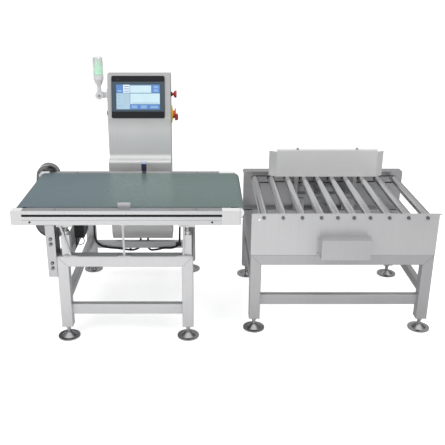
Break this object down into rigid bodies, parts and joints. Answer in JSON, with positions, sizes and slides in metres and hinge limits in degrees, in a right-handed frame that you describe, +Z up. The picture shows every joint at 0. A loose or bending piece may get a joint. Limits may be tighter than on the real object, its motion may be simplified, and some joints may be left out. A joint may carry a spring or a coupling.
{
  "type": "checkweigher",
  "caption": "Checkweigher: belt weighing section with load cells, belt drive, control cabinet and signal lamp, beside a roller section with a cross pusher that rejects packs.",
  "frame": {"origin": "on the floor, at the middle of the footprint of both sections together", "axes": "+X along the direction of travel from the weighing belt to the rollers, +Y away from the operator towards the cabinet, +Z up"},
  "size_m": [1.955, 0.8759, 1.171],
  "materials": {
    "satin_steel": "satin",
    "cabinet_steel": "satin",
    "polished_steel": "polished",
    "bolt_steel": "bright",
    "roller_steel": "turned bright",
    "rail_aluminium": "anodised",
    "plain_aluminium": "anodised",
    "pulley_aluminium": "machined",
    "end_block_plastic": "matte",
    "belt_sheet": "matte",
    "black_rubber": "matte",
    "black_plastic": "matte",
    "sensor_plastic": "satin",
    "grey_plastic": "satin",
    "motor_paint": "satin",
    "nickel_plate": "nickel plated",
    "screen_glass": "glossy",
    "red_plastic": "glossy",
    "yellow_plastic": "glossy",
    "lens_plastic": "translucent"
  },
  "bodies": {
    "base": {"weigh_frame": "satin_steel", "reject_frame": "satin_steel", "foot_pads": "polished_steel", "foot_studs": "polished_steel", "load_cells": "polished_steel", "bed_cross_bars": "satin_steel", "bed_rails": "rail_aluminium", "rail_end_blocks": "end_block_plastic", "bed_plate": "satin_steel", "conveyor_belt": "belt_sheet", "timing_belt": "black_rubber", "guard_housing": "polished_steel", "guard_lid": "polished_steel", "drive_motor": "motor_paint", "stay_straps": "satin_steel", "infeed_bracket": "satin_steel", "hex_bolts": "bolt_steel", "sensor_brackets": "satin_steel", "photo_sensor": "sensor_plastic", "junction_boxes": "black_plastic", "cable_glands": "black_plastic", "held_cables": "black_rubber", "cabinet_shell": "cabinet_steel", "door_hinges": "polished_steel", "panel_frame": "black_plastic", "panel_screen": "screen_glass", "stop_collar": "black_plastic", "isolator_base": "yellow_plastic", "lamp_bracket": "grey_plastic", "front_side_plate": "satin_steel", "rear_side_plate": "satin_steel", "roller_axles": "polished_steel", "roller_belts": "black_rubber", "cylinder_barrel": "plain_aluminium", "guide_rods": "polished_steel", "guide_supports": "plain_aluminium", "front_cover": "satin_steel"},
    "drive": {"drive_roller": "roller_steel", "drive_pulley": "pulley_aluminium"},
    "motor": {"motor_pulley": "pulley_aluminium"},
    "idler": {"idler_roller": "roller_steel"},
    "pusher": {"pusher_plate": "satin_steel", "pusher_posts": "satin_steel", "pusher_carriage": "plain_aluminium"},
    "stop_button": {"stop_button": "red_plastic"},
    "isolator_handle": {"isolator_handle": "red_plastic"},
    "lamp": {"lamp_arm": "grey_plastic", "lamp_lens": "lens_plastic"},
    "cabinet_door": {"cabinet_door": "cabinet_steel"},
    "door_lock": {"door_lock": "nickel_plate"},
    "roller_01": {"roller_01": "roller_steel"},
    "roller_02": {"roller_02": "roller_steel"},
    "roller_03": {"roller_03": "roller_steel"},
    "roller_04": {"roller_04": "roller_steel"},
    "roller_05": {"roller_05": "roller_steel"},
    "roller_06": {"roller_06": "roller_steel"},
    "roller_07": {"roller_07": "roller_steel"},
    "roller_08": {"roller_08": "roller_steel"},
    "roller_09": {"roller_09": "roller_steel"},
    "roller_10": {"roller_10": "roller_steel"}
  },
  "joints": [
    {"name": "drive_roller_spin", "type": "hinge", "parent": "base", "child": "drive", "pos_m": [-0.8875, -0.111, 0.5977], "axis": [0, 1, 0], "continuous": true},
    {"name": "motor_pulley_spin", "type": "hinge", "parent": "base", "child": "motor", "pos_m": [-0.8875, 0.233, 0.3437], "axis": [0, 1, 0], "continuous": true},
    {"name": "idler_roller_spin", "type": "hinge", "parent": "base", "child": "idler", "pos_m": [0.0625, -0.111, 0.5977], "axis": [0, 1, 0], "continuous": true},
    {"name": "roller_01_spin", "type": "hinge", "parent": "base", "child": "roller_01", "pos_m": [0.1775, -0.046, 0.563], "axis": [0, 1, 0], "continuous": true},
    {"name": "roller_02_spin", "type": "hinge", "parent": "base", "child": "roller_02", "pos_m": [0.262, -0.046, 0.563], "axis": [0, 1, 0], "continuous": true},
    {"name": "roller_03_spin", "type": "hinge", "parent": "base", "child": "roller_03", "pos_m": [0.3465, -0.046, 0.563], "axis": [0, 1, 0], "continuous": true},
    {"name": "roller_04_spin", "type": "hinge", "parent": "base", "child": "roller_04", "pos_m": [0.431, -0.046, 0.563], "axis": [0, 1, 0], "continuous": true},
    {"name": "roller_05_spin", "type": "hinge", "parent": "base", "child": "roller_05", "pos_m": [0.503, -0.046, 0.563], "axis": [0, 1, 0], "continuous": true},
    {"name": "roller_06_spin", "type": "hinge", "parent": "base", "child": "roller_06", "pos_m": [0.575, -0.046, 0.563], "axis": [0, 1, 0], "continuous": true},
    {"name": "roller_07_spin", "type": "hinge", "parent": "base", "child": "roller_07", "pos_m": [0.647, -0.046, 0.563], "axis": [0, 1, 0], "continuous": true},
    {"name": "roller_08_spin", "type": "hinge", "parent": "base", "child": "roller_08", "pos_m": [0.7315, -0.046, 0.563], "axis": [0, 1, 0], "continuous": true},
    {"name": "roller_09_spin", "type": "hinge", "parent": "base", "child": "roller_09", "pos_m": [0.816, -0.046, 0.563], "axis": [0, 1, 0], "continuous": true},
    {"name": "roller_10_spin", "type": "hinge", "parent": "base", "child": "roller_10", "pos_m": [0.9005, -0.046, 0.563], "axis": [0, 1, 0], "continuous": true},
    {"name": "pusher_slide", "type": "slide", "parent": "base", "child": "pusher", "axis": [0, -1, 0], "range_m": [0, 0.45]},
    {"name": "stop_button_press", "type": "slide", "parent": "base", "child": "stop_button", "axis": [-1, 0, 0], "range_m": [0, 0.004]},
    {"name": "isolator_turn", "type": "hinge", "parent": "base", "child": "isolator_handle", "pos_m": [-0.2585, 0.366, 0.879], "axis": [1, 0, 0], "range_deg": [0, 90]},
    {"name": "lamp_fold", "type": "hinge", "parent": "base", "child": "lamp", "pos_m": [-0.6265, 0.366, 0.979], "axis": [0, 1, 0], "range_deg": [-90, 0]},
    {"name": "cabinet_door_hinge", "type": "hinge", "parent": "base", "child": "cabinet_door", "pos_m": [-0.5885, 0.425, 0.6555], "axis": [0, 0, 1], "range_deg": [0, 110]},
    {"name": "door_lock_turn", "type": "hinge", "parent": "cabinet_door", "child": "door_lock", "pos_m": [-0.2985, 0.416, 0.6555], "axis": [0, 1, 0], "range_deg": [0, 90]}
  ],
  "couplings": [
    {"joint": "motor_pulley_spin", "follows": "drive_roller_spin", "ratio": 0.66667},
    {"joint": "idler_roller_spin", "follows": "drive_roller_spin", "ratio": 1},
    {"joint": "roller_02_spin", "follows": "roller_01_spin", "ratio": 1},
    {"joint": "roller_03_spin", "follows": "roller_01_spin", "ratio": 1},
    {"joint": "roller_04_spin", "follows": "roller_01_spin", "ratio": 1},
    {"joint": "roller_05_spin", "follows": "roller_01_spin", "ratio": 1},
    {"joint": "roller_06_spin", "follows": "roller_01_spin", "ratio": 1},
    {"joint": "roller_07_spin", "follows": "roller_01_spin", "ratio": 1},
    {"joint": "roller_08_spin", "follows": "roller_01_spin", "ratio": 1},
    {"joint": "roller_09_spin", "follows": "roller_01_spin", "ratio": 1},
    {"joint": "roller_10_spin", "follows": "roller_01_spin", "ratio": 1}
  ]
}
